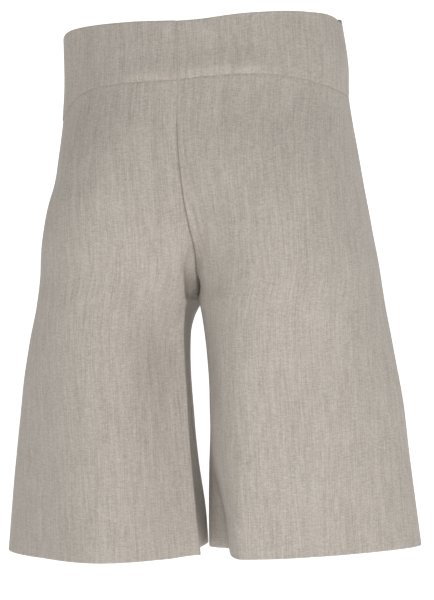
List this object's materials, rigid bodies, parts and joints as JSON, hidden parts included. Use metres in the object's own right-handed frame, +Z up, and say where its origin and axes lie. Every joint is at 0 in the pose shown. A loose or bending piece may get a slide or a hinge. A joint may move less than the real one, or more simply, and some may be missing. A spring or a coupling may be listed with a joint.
{
  "type": "bermuda shorts, as worn",
  "caption": "Wide-leg knee-length bermuda shorts in plain linen with a deep shaped waistband, in the hollow form they keep when worn.",
  "frame": {"origin": "centre of the waist opening, level with the top of the waistband", "axes": "+Z up towards the wearer's head, +Y towards the front with the fly and button, +X towards the wearer's right side"},
  "size_m": [0.4903, 0.2386, 0.6174],
  "materials": {
    "linen": "matt plain weave with slubs",
    "button": "satin"
  },
  "bodies": {
    "root": {"back_left": "linen", "back_right": "linen", "front_left": "linen", "front_right": "linen", "waistband_left": "linen", "waistband_right": "linen", "fly_flap": "linen", "waistband_tab": "linen", "waist_button": "button"}
  },
  "joints": []
}
